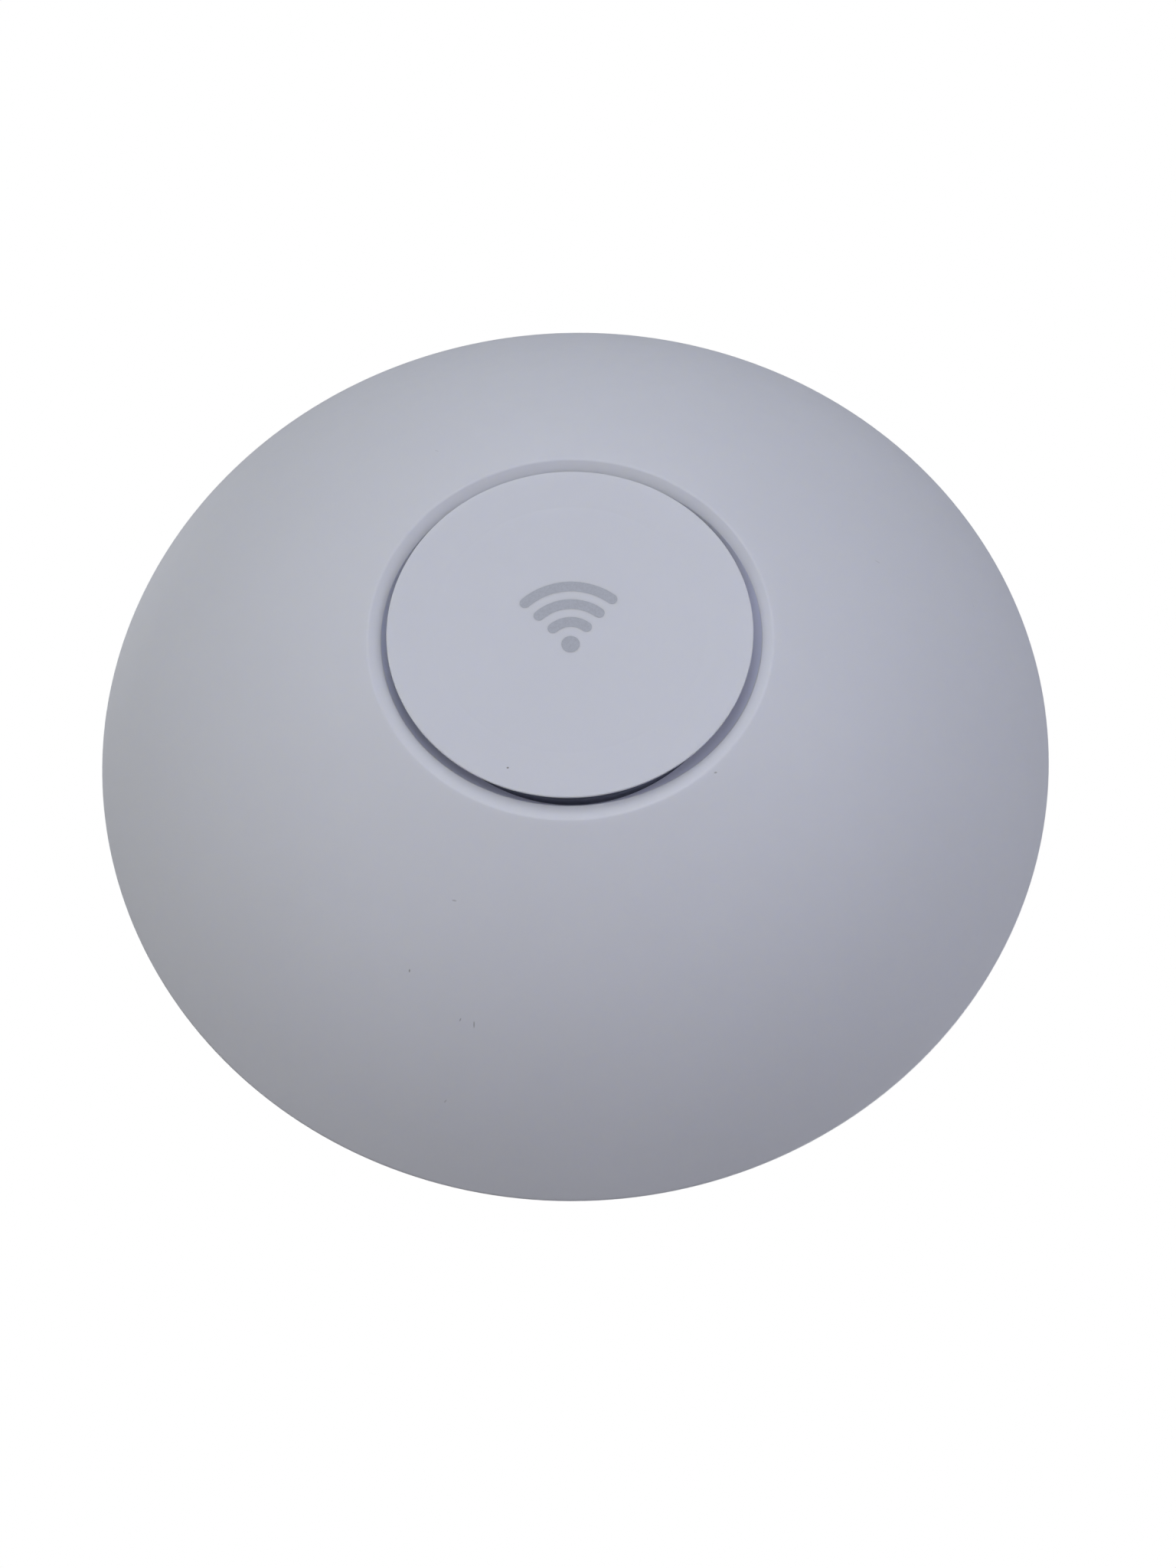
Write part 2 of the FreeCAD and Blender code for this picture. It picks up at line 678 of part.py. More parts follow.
# ---------------------------------------------------------------- heat plate
heat = new_body("heat_plate")
sk = new_sketch(heat, "XY_Plane", plate_z)
circle(sk, 0, 0, heat_radius)
pad(heat, sk, heat_thick)
cut_block(heat, -25.0, -80, 80, -6.0, plate_z - 1, heat_thick + 2)
cut_block(heat, -6.5, 19.0, 6.5, 28.0, plate_z - 1, heat_thick + 2)
posts(heat, board_places, 3.2, board_top, plate_z - board_top + 0.5)
drill(heat, board_places, 1.45, board_top - 1, 9)
drill(heat, deck_places, 1.2, plate_z - 1, 5)
screws("board_screws", board_places, 1.1, floor_top + 0.6, heat_top - floor_top - 0.6, 2.3, heat_top, 1.4, True)

# ---------------------------------------------------------------- main board and what stands on it
board = new_body("main_board")
sk = new_sketch(board, "XY_Plane", board_z)
circle(sk, 0, 0, board_radius)
pad(board, sk, board_thick)
cut_block(board, -24.0, -85, 24.0, -bay_near + bay_wall + 0.3, board_z - 1, 4)
drill(board, board_places, 1.5, board_z - 1, 4)

cans = {"shield_processor": (8.5, 4.0, 40.5, 34.0), "shield_radio_2g": (-44.5, 3.0, -8.5, 35.0), "shield_radio_5g": (-20.0, 42.0, 20.0, 66.0)}
can_top = plate_z - 0.8
for name, (x0, y0, x1, y1) in cans.items():
    body = new_body(name)
    block(body, x0, y0, x1, y1, board_top, can_top - board_top)
    cut_block(body, x0 + 0.3, y0 + 0.3, x1 - 0.3, y1 - 0.3, board_top - 1, can_top - board_top + 1 - 0.3)

chip = new_body("processor")
block(chip, 16.5, 11.0, 32.5, 27.0, board_top, 1.3)
chips = new_body("radio_chips")
block(chips, -33.0, 12.5, -20.0, 25.5, board_top, 1.1)
block(chips, -6.5, 47.5, 6.5, 60.5, board_top, 1.1)
memory = new_body("memory_chips")
block(memory, 44.5, 12.0, 53.5, 24.0, board_top, 1.1)
block(memory, 44.5, 27.0, 53.5, 39.0, board_top, 1.1)
pads = new_body("thermal_pads")
block(pads, 13.0, 8.0, 36.0, 30.0, can_top, plate_z - can_top)
block(pads, -38.0, 8.0, -15.0, 30.0, can_top, plate_z - can_top)
block(pads, -12.0, 45.0, 12.0, 63.0, can_top, plate_z - can_top)

# network socket: metal shell, plastic body and eight contacts, its mouth towards -Y into the bay
jack = new_body("ethernet_jack")
block(jack, -8.0, -bay_near, 8.0, -21.0, board_top, 13.5)
cut_block(jack, -7.6, -bay_near + 0.0, 7.6, -21.4, board_top - 1, 13.5 + 1 - 0.4)
insert = new_body("jack_insert")
block(insert, -7.6, -bay_near + 0.3, 7.6, -21.4, board_top, 13.1)
# plug cavity: main opening with the latch channel below it
sk = new_sketch(insert, "XZ_Plane", offset=bay_near)
rect(sk, -5.9, board_top + 4.4, 5.9, board_top + 11.3)
pocket(insert, sk, 14.0, Reversed=False)
sk = new_sketch(insert, "XZ_Plane", offset=bay_near)
rect(sk, -3.2, board_top + 1.6, 3.2, board_top + 4.6)
pocket(insert, sk, 14.0, Reversed=False)
contacts = new_body("jack_contacts")
sk = new_sketch(contacts, "YZ_Plane", offset=-3.57)
outline(
    sk,
    [
        (-bay_near + 4.0, board_top + 11.3),
        (-bay_near + 4.0, board_top + 11.0),
        (-bay_near + 12.0, board_top + 8.6),
        (-bay_near + 12.0, board_top + 8.9),
        (-bay_near + 5.0, board_top + 11.3),
    ],
)
wire = pad(contacts, sk, 0.45, Midplane=True)
serial[0] += 1
comb = contacts.newObject("PartDesign::LinearPattern", "comb")
comb.Originals = [wire]
comb.Direction = (plane(contacts, "X_Axis"), [""])
comb.Length = 7.14
comb.Occurrences = 8
contacts.Tip = comb
doc.recompute()

coil = new_body("network_transformer")
block(coil, -9.0, -18.5, 9.0, -7.5, board_top, 5.8)
poe = new_body("power_transformer")
block(poe, 32.0, -38.0, 50.0, -20.0, board_top, 2.2)
block(poe, 34.5, -37.0, 47.5, -21.0, board_top + 2.2 - 0.1, 7.4)
block(poe, 32.0, -36.0, 50.0, -22.0, board_top + 9.4, 1.6)
choke = new_body("power_inductor")
posts(choke, [(60.0, -22.0)], 5.4, board_top, 5.5)
caps = new_body("capacitors")
posts(caps, [(29.5, -53.0), (39.5, -50.5), (49.0, -46.0)], 4.0, board_top, 10.0)
drill(caps, [(29.5, -53.0), (39.5, -50.5), (49.0, -46.0)], 2.6, board_top + 9.8, 1)

# reset: a tact switch on the board and the button that shows in the bay's wall
switch = new_body("reset_switch")
block(switch, 11.0, -38.4, 17.0, -34.4, board_top, 6.0)
sk = new_sketch(switch, "XZ_Plane", offset=39.0)
circle(sk, 14.0, 12.0, 1.3)
pocket(switch, sk, 1.9, Reversed=False)
button = new_body("reset_button")
sk = new_sketch(button, "XZ_Plane", offset=bay_near - 0.3)
circle(sk, 14.0, 12.0, 1.17)
pad(button, sk, 4.0, Reversed=True)

# case screws: heads in the base's counterbores, shanks up into the dome's bosses
screws("case_screws", case_places, 1.2, base_back + 0.2, 11.0, 2.8, base_back + 0.1, 1.4, False)

# ---------------------------------------------------------------- checks and files
doc.recompute()
bad = []
for obj in doc.Objects:
    if "Invalid" in obj.State or "Error" in obj.State:
        bad.append("%s %s" % (obj.Name, obj.State))
for body in sub_parts:
    if body.Shape.isNull() or not body.Shape.isValid() or not body.Shape.Solids:
        bad.append("shape of " + body.Label)
if bad:
    raise RuntimeError("; ".join(bad))

os.makedirs("parts", exist_ok=True)
for body in sub_parts:
    body.Shape.exportStep("parts/%s.step" % body.Label)
    b = body.Shape.BoundBox
    print(
        "%-20s solids %2d volume %9.1f x %.2f %.2f y %.2f %.2f z %.2f %.2f"
        % (body.Label, len(body.Shape.Solids), body.Shape.Volume, b.XMin, b.XMax, b.YMin, b.YMax, b.ZMin, b.ZMax)
    )
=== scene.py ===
import json
import math

import bmesh
import bpy
from mathutils import Matrix, Vector


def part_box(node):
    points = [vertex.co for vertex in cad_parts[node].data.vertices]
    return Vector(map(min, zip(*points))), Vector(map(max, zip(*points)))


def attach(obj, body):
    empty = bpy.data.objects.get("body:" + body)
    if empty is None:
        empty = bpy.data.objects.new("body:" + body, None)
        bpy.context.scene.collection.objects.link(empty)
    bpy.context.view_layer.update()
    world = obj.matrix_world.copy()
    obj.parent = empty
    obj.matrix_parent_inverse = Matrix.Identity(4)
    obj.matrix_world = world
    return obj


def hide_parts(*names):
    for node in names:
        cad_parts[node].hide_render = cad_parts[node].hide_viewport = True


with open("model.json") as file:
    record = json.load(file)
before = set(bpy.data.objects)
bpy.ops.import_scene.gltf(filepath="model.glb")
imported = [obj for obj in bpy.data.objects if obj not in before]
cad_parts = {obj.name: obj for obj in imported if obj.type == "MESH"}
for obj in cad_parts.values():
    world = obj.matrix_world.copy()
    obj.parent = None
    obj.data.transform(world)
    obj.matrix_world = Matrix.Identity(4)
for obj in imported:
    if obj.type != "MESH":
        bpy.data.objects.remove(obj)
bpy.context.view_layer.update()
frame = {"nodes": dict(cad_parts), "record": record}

MM = 0.001
nodes = frame["nodes"]
scene = bpy.context.scene
scene.view_settings.view_transform = "Standard"
scene.view_settings.look = "None"

# ------------------------------------------------------------------ sizes, read from the frame
dome_lo, dome_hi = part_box("dome_cover")
disc_lo, disc_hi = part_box("centre_disc")
ring_lo, ring_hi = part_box("light_ring")
base_lo, base_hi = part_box("rear_base")
RIM_R = dome_hi.x / MM
RIM_LOW = dome_lo.z / MM
EDGE = 1.0
RIM_Z = 6.838
CROWN_R = 146.0
WALL = 2.2
BEVEL_R, LIP_R, LIP_Z = 39.2, 37.0, 43.4
WELL_R, WELL_Z = 32.6, ring_hi.z / MM
VIEW_Z = 6.0
DISC_R = disc_hi.x / MM
DISC_TOP = disc_hi.z / MM
STEM_OUT, STEM_IN = 26.0, 24.0
SKIRT_R = base_hi.x / MM + 0.3
CROWN_Z = RIM_Z - math.sqrt((CROWN_R - EDGE) ** 2 - (RIM_R - EDGE) ** 2)


# ------------------------------------------------------------------ camera
def make_camera():
    """A pinhole view from the front, about 65 degrees above the table, rolled a little."""
    e, dist = math.radians(65.19), 2.850 * RIM_R * MM
    eye = Vector((0, -math.cos(e), math.sin(e))) * dist
    ahead = -eye.normalized()
    right = ahead.cross(Vector((0, 0, 1))).normalized()
    up = right.cross(ahead)
    ahead = (ahead + 0.0078 * right - 0.0541 * up).normalized()
    right = ahead.cross(up).normalized()
    up = right.cross(ahead)
    roll = -0.0482
    r = math.cos(roll) * right + math.sin(roll) * up
    u = -math.sin(roll) * right + math.cos(roll) * up
    data = bpy.data.cameras.new("camera")
    data.sensor_width = 36.0
    data.lens = 1739.0 / 2048.0 * 36.0
    data.clip_start, data.clip_end = 0.01, 20.0
    cam = bpy.data.objects.new("camera", data)
    m = Matrix((r, u, -ahead)).transposed().to_4x4()
    m.translation = eye + Vector((0, 0, VIEW_Z * MM))
    cam.matrix_world = m
    scene.collection.objects.link(cam)
    scene.camera = cam


make_camera()


# ------------------------------------------------------------------ mesh helpers
def filleted(points, seg=6):
    """A closed (r, z) loop in millimetres. A point (r, z, f) gets a round of radius f there."""
    out = []
    n = len(points)
    for i, p in enumerate(points):
        if len(p) < 3 or p[2] <= 0:
            out.append((p[0], p[1]))
            continue
        a, b, f = Vector(points[i - 1][:2]), Vector(points[(i + 1) % n][:2]), p[2]
        c = Vector(p[:2])
        u, v = (a - c).normalized(), (b - c).normalized()
        cosine = max(-1.0, min(1.0, u.dot(v)))
        half = math.acos(cosine) / 2
        if half > math.radians(88):
            out.append((p[0], p[1]))
            continue
        reach = min(f / math.tan(half), (a - c).length * 0.49, (b - c).length * 0.49)
        f = reach * math.tan(half)
        centre = c + (u + v).normalized() * (f / math.sin(half))
        s, t = c + u * reach - centre, c + v * reach - centre
        a0, a1 = math.atan2(s.y, s.x), math.atan2(t.y, t.x)
        turn = (a1 - a0 + math.pi) % (2 * math.pi) - math.pi
        for k in range(seg + 1):
            w = a0 + turn * k / seg
            out.append((centre.x + f * math.cos(w), centre.y + f * math.sin(w)))
    return out


def arc(cx, cy, r, a0, a1, n):
    """Points on an arc, angles in degrees, both ends included."""
    return [
        (cx + r * math.cos(math.radians(a0 + (a1 - a0) * k / n)), cy + r * math.sin(math.radians(a0 + (a1 - a0) * k / n)))
        for k in range(n + 1)
    ]


def spin_into(bm, loop, seg, start=0.0, sweep=360.0):
    """Sweeps a closed (r, z) loop about Z into the mesh, whole or as a capped sector."""
    whole = abs(sweep - 360.0) < 1e-6
    count = seg if whole else seg + 1
    rings = []
    for k in range(count):
        w = math.radians(start + sweep * k / seg)
        c, s = math.cos(w), math.sin(w)
        rings.append([None if r < 1e-6 else bm.verts.new((r * c * MM, r * s * MM, z * MM)) for r, z in loop])
    poles = {}
    for j, (r, z) in enumerate(loop):
        if r < 1e-6:
            poles[j] = bm.verts.new((0, 0, z * MM))
    n = len(loop)
    for k in range(seg):
        a, b = rings[k], rings[(k + 1) % count]
        for j in range(n):
            j2 = (j + 1) % n
            quad = [a[j] or poles[j], b[j] or poles[j], b[j2] or poles[j2], a[j2] or poles[j2]]
            seen = []
            for v in quad:
                if v not in seen:
                    seen.append(v)
            if len(seen) >= 3 and not (j in poles and j2 in poles):
                bm.faces.new(seen)
    if not whole:
        bm.faces.new([v or poles[j] for j, v in enumerate(rings[0])])
        bm.faces.new([v or poles[j] for j, v in reversed(list(enumerate(rings[-1])))])


def finish_mesh(name, bm, sharp=32.0):
    bmesh.ops.recalc_face_normals(bm, faces=bm.faces[:])
    for f in bm.faces:
        f.smooth = True
    for e in bm.edges:
        if len(e.link_faces) == 2 and e.calc_face_angle(0.0) > math.radians(sharp):
            e.smooth = False
    mesh = bpy.data.meshes.new(name)
    bm.to_mesh(mesh)
    bm.free()
    obj = bpy.data.objects.new(name, mesh)
    scene.collection.objects.link(obj)
    return obj


def spun(name, loop, seg=192, sharp=32.0):
    bm = bmesh.new()
    spin_into(bm, loop, seg)
    return finish_mesh(name, bm, sharp)


def prism_into(bm, outline, z0, z1):
    """An upright prism from a flat outline in millimetres."""
    low = [bm.verts.new((x * MM, y * MM, z0 * MM)) for x, y in outline]
    high = [bm.verts.new((x * MM, y * MM, z1 * MM)) for x, y in outline]
    bm.faces.new(list(reversed(low)))
    bm.faces.new(high)
    n = len(outline)
    for i in range(n):
        bm.faces.new([low[i], low[(i + 1) % n], high[(i + 1) % n], high[i]])


def joined(target, others):
    """Boolean union of others into target, applied."""
    for o in others:
        mod = target.modifiers.new("join", "BOOLEAN")
        mod.operation, mod.solver, mod.object = "UNION", "EXACT", o
    dg = bpy.context.evaluated_depsgraph_get()
    mesh = bpy.data.meshes.new_from_object(target.evaluated_get(dg), depsgraph=dg)
    target.modifiers.clear()
    old = target.data
    target.data = mesh
    bpy.data.meshes.remove(old)
    for o in others:
        bpy.data.objects.remove(o)
    return target


# ------------------------------------------------------------------ material helpers
def tree(name):
    mat = bpy.data.materials.new(name)
    mat.use_nodes = True
    nt = mat.node_tree
    nt.nodes.clear()
    out = nt.nodes.new("ShaderNodeOutputMaterial")
    bsdf = nt.nodes.new("ShaderNodeBsdfPrincipled")
    nt.links.new(bsdf.outputs[0], out.inputs["Surface"])
    return mat, nt, bsdf


def node(nt, kind, **given):
    n = nt.nodes.new(kind)
    for key, v in given.items():
        if key.startswith("_"):
            setattr(n, key[1:], v)
            continue
        socket = n.inputs[int(key[2:])] if key.startswith("in") and key[2:].isdigit() else n.inputs[key.replace("_", " ")]
        if isinstance(v, bpy.types.NodeSocket):
            nt.links.new(v, socket)
        else:
            socket.default_value = v
    return n


def rgb(c):
    return (c[0], c[1], c[2], 1.0)


def where(nt):
    return nt.nodes.new("ShaderNodeTexCoord").outputs["Object"]


def noise(nt, scale, detail=3.0, rough=0.5, vector=None):
    return node(nt, "ShaderNodeTexNoise", Vector=vector or where(nt), Scale=scale, Detail=detail, Roughness=rough).outputs["Fac"]


def span(nt, value, a, b, lo=0.3, hi=0.7):
    """Maps lo..hi of value to a..b."""
    return node(nt, "ShaderNodeMapRange", Value=value, in1=lo, in2=hi, in3=a, in4=b).outputs[0]


def mixed(nt, fac, a, b, blend="MIX"):
    n = nt.nodes.new("ShaderNodeMix")
    n.data_type, n.blend_type = "RGBA", blend
    for socket, v in ((n.inputs[0], fac), (n.inputs[6], a), (n.inputs[7], b)):
        if isinstance(v, bpy.types.NodeSocket):
            nt.links.new(v, socket)
        else:
            socket.default_value = v if socket is n.inputs[0] else rgb(v)
    return n.outputs[2]


def maths(nt, op, a, b=0.0, c=None):
    n = nt.nodes.new("ShaderNodeMath")
    n.operation = op
    for i, v in enumerate((a, b) if c is None else (a, b, c)):
        if isinstance(v, bpy.types.NodeSocket):
            nt.links.new(v, n.inputs[i])
        else:
            n.inputs[i].default_value = v
    return n.outputs[0]


def bump(nt, height, strength, distance, normal=None):
    n = node(nt, "ShaderNodeBump", Strength=strength, Distance=distance, Height=height)
    if normal is not None:
        nt.links.new(normal, n.inputs["Normal"])
    return n.outputs["Normal"]


def put(nt, bsdf, **given):
    for key, v in given.items():
        socket = bsdf.inputs[key.replace("_", " ")]
        if isinstance(v, bpy.types.NodeSocket):
            nt.links.new(v, socket)
        else:
            socket.default_value = v


def plastic(name, colour, rough=0.5, grain=2600.0, depth=0.000012, blotch=0.02, spec=0.4, dirt=None):
    """Moulded plastic: fine spark-eroded grain, faint flow mottling, uneven gloss."""
    mat, nt, bsdf = tree(name)
    broad = noise(nt, 38.0, 2.0)
    fine = noise(nt, 420.0, 4.0, 0.6)
    dark = tuple(c * (1 - blotch) for c in colour)
    light = tuple(min(1.0, c * (1 + blotch)) for c in colour)
    base = mixed(nt, span(nt, broad, 0.0, 1.0), dark, light)
    base = mixed(nt, span(nt, fine, 0.0, 0.5), base, tuple(c * (1 - blotch * 1.5) for c in colour))
    if dirt is not None:
        patch = noise(nt, 90.0, 5.0, 0.65)
        base = mixed(nt, span(nt, patch, 0.0, 0.35, 0.58, 0.8), base, dirt)
    g = noise(nt, grain, 2.0, 0.55)
    put(nt, bsdf, Base_Color=base, Roughness=span(nt, fine, rough - 0.05, rough + 0.06), Specular_IOR_Level=spec, Normal=bump(nt, g, 0.5, depth))
    return mat


def metal(name, colour, rough=0.3, along=(1.0, 1.0, 30.0), grain=900.0, depth=0.000006, tarnish=None):
    """Worked metal: brushed or rolled grain drawn out along one axis, patchy tarnish."""
    mat, nt, bsdf = tree(name)
    v = node(nt, "ShaderNodeMapping", Vector=where(nt), Scale=along).outputs[0]
    lines = noise(nt, grain, 3.0, 0.6, v)
    patch = noise(nt, 120.0, 4.0, 0.6)
    base = mixed(nt, span(nt, lines, 0.0, 0.6), colour, tuple(c * 0.86 for c in colour))
    base = mixed(nt, span(nt, patch, 0.0, 0.5, 0.5, 0.75), base, tarnish or tuple(c * 0.8 for c in colour))
    put(nt, bsdf, Base_Color=base, Metallic=1.0, Roughness=span(nt, lines, rough - 0.06, rough + 0.1), Normal=bump(nt, lines, 0.4, depth))
    return mat


# ------------------------------------------------------------------ materials
def white_shell(name, colour, rough, specks=(), sink=None, recess=None):
    """The dome's and disc's white plastic: satin matt, very fine grain, faint broad mottling and
    a few dust specks that lie on it. Given a recess, its wall gets painted light: a painted cool
    bluish tint and a painted glow, brighter towards +X and fading out towards the far side."""
    mat, nt, bsdf = tree(name)
    broad = noise(nt, 17.0, 2.0, 0.45)
    mid = noise(nt, 160.0, 4.0, 0.6)
    base = mixed(nt, span(nt, broad, 0.0, 1.0), tuple(c * 0.985 for c in colour), tuple(c * 1.01 for c in colour))
    base = mixed(nt, span(nt, mid, 0.0, 0.35), base, tuple(c * 0.972 for c in colour))
    # sparse pale lint and dark dust
    cell = node(nt, "ShaderNodeTexVoronoi", Vector=where(nt), Scale=150.0, Randomness=1.0, _feature="F1")
    pick = node(nt, "ShaderNodeSeparateColor", Color=cell.outputs["Color"])
    rare = maths(nt, "GREATER_THAN", pick.outputs[0], 0.965)
    tiny = maths(nt, "LESS_THAN", cell.outputs["Distance"], 0.022)
    base = mixed(nt, maths(nt, "MULTIPLY", maths(nt, "MULTIPLY", rare, tiny), 0.22), base, (0.30, 0.28, 0.25))
    for x, y, length, width, turn, tone in specks:
        v = node(nt, "ShaderNodeMapping", Vector=where(nt), Location=(x * MM, y * MM, 0), _vector_type="TEXTURE", Rotation=(0, 0, math.radians(turn)), Scale=(length * MM, width * MM, 1000.0)).outputs[0]
        wob = node(nt, "ShaderNodeVectorMath", in0=v, in1=(0, 0, 0), _operation="ADD").outputs[0]
        d = node(nt, "ShaderNodeVectorMath", in0=wob, _operation="LENGTH").outputs["Value"]
        soft = span(nt, d, 1.0, 0.0, 0.55, 1.0)
        base = mixed(nt, maths(nt, "MULTIPLY", soft, tone), base, (0.16, 0.145, 0.12))
    # painted light on the recess wall: a cool bluish tint mixed into the colour and an emission glow, no lamp
    # behind either
    if recess is not None:
        at = node(nt, "ShaderNodeSeparateXYZ", Vector=where(nt))
        r = maths(nt, "SQRT", maths(nt, "ADD", maths(nt, "POWER", at.outputs[0], 2.0), maths(nt, "POWER", at.outputs[1], 2.0)))
        painted_light_mask = maths(nt, "MULTIPLY", maths(nt, "LESS_THAN", r, recess[0] * MM), maths(nt, "LESS_THAN", at.outputs[2], recess[1] * MM))
        painted_light_mask = maths(nt, "MULTIPLY", painted_light_mask, span(nt, at.outputs[1], 1.0, 0.0, 0.006, 0.024))
        base = mixed(nt, maths(nt, "MULTIPLY", painted_light_mask, 0.8), base, (0.70, 0.74, 0.90))
        # painted glow, stronger towards +X, where the wall would be more brightly lit
        glow = span(nt, at.outputs[0], 0.045, 0.115, -0.035, 0.035)
        put(nt, bsdf, Emission_Color=(0.80, 0.80, 1.0, 1.0), Emission_Strength=maths(nt, "MULTIPLY", painted_light_mask, glow))
    g = noise(nt, 3400.0, 2.0, 0.5)
    # the grain fades out towards the rim's thin lower edge, which is polished in the mould
    n = bump(nt, g, span(nt, node(nt, "ShaderNodeSeparateXYZ", Vector=where(nt)).outputs[2], 0.02, 0.35, 0.004, 0.012), 0.000010)
    wave = noise(nt, 46.0, 1.0)
    n = bump(nt, wave, 0.12, 0.00012, n)
    if sink is not None:
        at = node(nt, "ShaderNodeSeparateXYZ", Vector=where(nt))
        r = maths(nt, "SQRT", maths(nt, "ADD", maths(nt, "POWER", at.outputs[0], 2.0), maths(nt, "POWER", at.outputs[1], 2.0)))
        off = maths(nt, "ABSOLUTE", maths(nt, "SUBTRACT", r, sink * MM))
        n = bump(nt, span(nt, off, 0.0, 1.0, 0.0, 0.0011), 0.6, 0.00006, n)
    put(nt, bsdf, Base_Color=base, Roughness=span(nt, mid, rough - 0.03, rough + 0.05), Specular_IOR_Level=0.42, Normal=n)
    # the thin rim edge is left solid, where light through it would only be noise
    height = node(nt, "ShaderNodeSeparateXYZ", Vector=where(nt)).outputs[2]
    put(nt, bsdf, Subsurface_Weight=span(nt, height, 0.0, 0.6, 0.0075, 0.014), Subsurface_Radius=(1.0, 1.05, 1.3), Subsurface_Scale=0.0009)
    return mat


WHITE = (0.77, 0.78, 0.815)
dome_mat = white_shell(
    "dome_white",
    WHITE,
    0.50,
    specks=(
        (-23.6, -51.6, 0.52, 0.18, -15, 0.32),
        (-32.7, -62.6, 0.34, 0.18, 80, 0.60),
        (-23.7, -71.6, 0.36, 0.13, 60, 0.50),
        (-21.2, -72.6, 0.70, 0.13, 86, 0.58),
        (-27.6, -84.8, 0.40, 0.18, 40, 0.25),
        (25.6, -31.2, 0.36, 0.18, 15, 0.50),
        (64.0, 18.0, 0.70, 0.14, -25, 0.20),
        (-26.0, 46.0, 0.60, 0.14, -30, 0.18),
    ),
    recess=(37.3, 43.25),
)
disc_mat = white_shell("disc_white", (0.772, 0.783, 0.822), 0.46, specks=((-12.7, -29.0, 0.26, 0.2, 0, 0.8),), sink=26.6)


def ink_material():
    """Screen-printed grey ink with a slightly starved, grainy edge."""
    mat, nt, bsdf = tree("mark_ink")
    fleck = noise(nt, 2400.0, 3.0, 0.7)
    base = mixed(nt, span(nt, fleck, 0.0, 1.0, 0.35, 0.65), (0.475, 0.49, 0.53), (0.535, 0.555, 0.60))
    put(nt, bsdf, Base_Color=base, Roughness=span(nt, fleck, 0.36, 0.5), Specular_IOR_Level=0.45, Normal=bump(nt, fleck, 0.3, 0.000006))
    return mat


def guide_painted_shade_material():
    """Frosted light guide, coloured dark blue-grey as painted shade for the gap under the disc."""
    mat, nt, bsdf = tree("light_guide")
    haze = noise(nt, 260.0, 3.0)
    # painted shade: the dark blue-grey stands in for the shade in the gap under the disc
    base = mixed(nt, span(nt, haze, 0.0, 1.0), (0.20, 0.215, 0.27), (0.25, 0.265, 0.33))
    put(nt, bsdf, Base_Color=base, Roughness=span(nt, haze, 0.38, 0.5), Specular_IOR_Level=0.5, Subsurface_Weight=0.2, Subsurface_Radius=(0.001, 0.001, 0.0014), Subsurface_Scale=0.6, Normal=bump(nt, noise(nt, 2200.0), 0.3, 0.00001))
    return mat


def board_material(name, mask, copper):
    """Solder mask over copper tracks: a faint raised track pattern and tinned vias."""
    mat, nt, bsdf = tree(name)
    v = where(nt)
    brick = node(nt, "ShaderNodeTexBrick", Vector=v, Scale=180.0, Color1=rgb((0, 0, 0)), Color2=rgb((0.25, 0.25, 0.25)), Mortar=rgb((1, 1, 1)), Mortar_Size=0.035, Brick_Width=0.9, Row_Height=0.35)
    track = brick.outputs["Fac"]
    dots = node(nt, "ShaderNodeTexVoronoi", Vector=v, Scale=420.0, Randomness=0.85, _feature="F1")
    via = maths(nt, "LESS_THAN", dots.outputs["Distance"], 0.13)
    sparse = maths(nt, "GREATER_THAN", noise(nt, 70.0, 1.0), 0.56)
    via = maths(nt, "MULTIPLY", via, sparse)
    base = mixed(nt, track, mask, tuple(min(1.0, c * 1.9 + 0.02) for c in mask))
    base = mixed(nt, via, base, copper)
    height = maths(nt, "ADD", maths(nt, "MULTIPLY", track, 0.5), via)
    put(nt, bsdf, Base_Color=base, Metallic=maths(nt, "MULTIPLY", via, 0.9), Roughness=span(nt, noise(nt, 600.0), 0.28, 0.42), Normal=bump(nt, height, 0.4, 0.00003))
    return mat


def label_material():
    """Blank satin film with a fine border line and paper-like mottling."""
    mat, nt, bsdf = tree("label_film")
    lo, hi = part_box("rating_label")
    at = node(nt, "ShaderNodeSeparateXYZ", Vector=where(nt))
    cx, cy = (lo.x + hi.x) / 2, (lo.y + hi.y) / 2
    dx = maths(nt, "SUBTRACT", (hi.x - lo.x) / 2, maths(nt, "ABSOLUTE", maths(nt, "SUBTRACT", at.outputs[0], cx)))
    dy = maths(nt, "SUBTRACT", (hi.y - lo.y) / 2, maths(nt, "ABSOLUTE", maths(nt, "SUBTRACT", at.outputs[1], cy)))
    d = maths(nt, "MINIMUM", dx, dy)
    line = maths(nt, "MULTIPLY", maths(nt, "GREATER_THAN", d, 0.0009), maths(nt, "LESS_THAN", d, 0.00115))
    f = noise(nt, 700.0, 4.0)
    base = mixed(nt, span(nt, f, 0.0, 1.0), (0.60, 0.61, 0.63), (0.66, 0.67, 0.69))
    base = mixed(nt, maths(nt, "MULTIPLY", line, 0.7), base, (0.32, 0.33, 0.35))
    put(nt, bsdf, Base_Color=base, Roughness=span(nt, f, 0.34, 0.44), Normal=bump(nt, f, 0.2, 0.00001))
    return mat


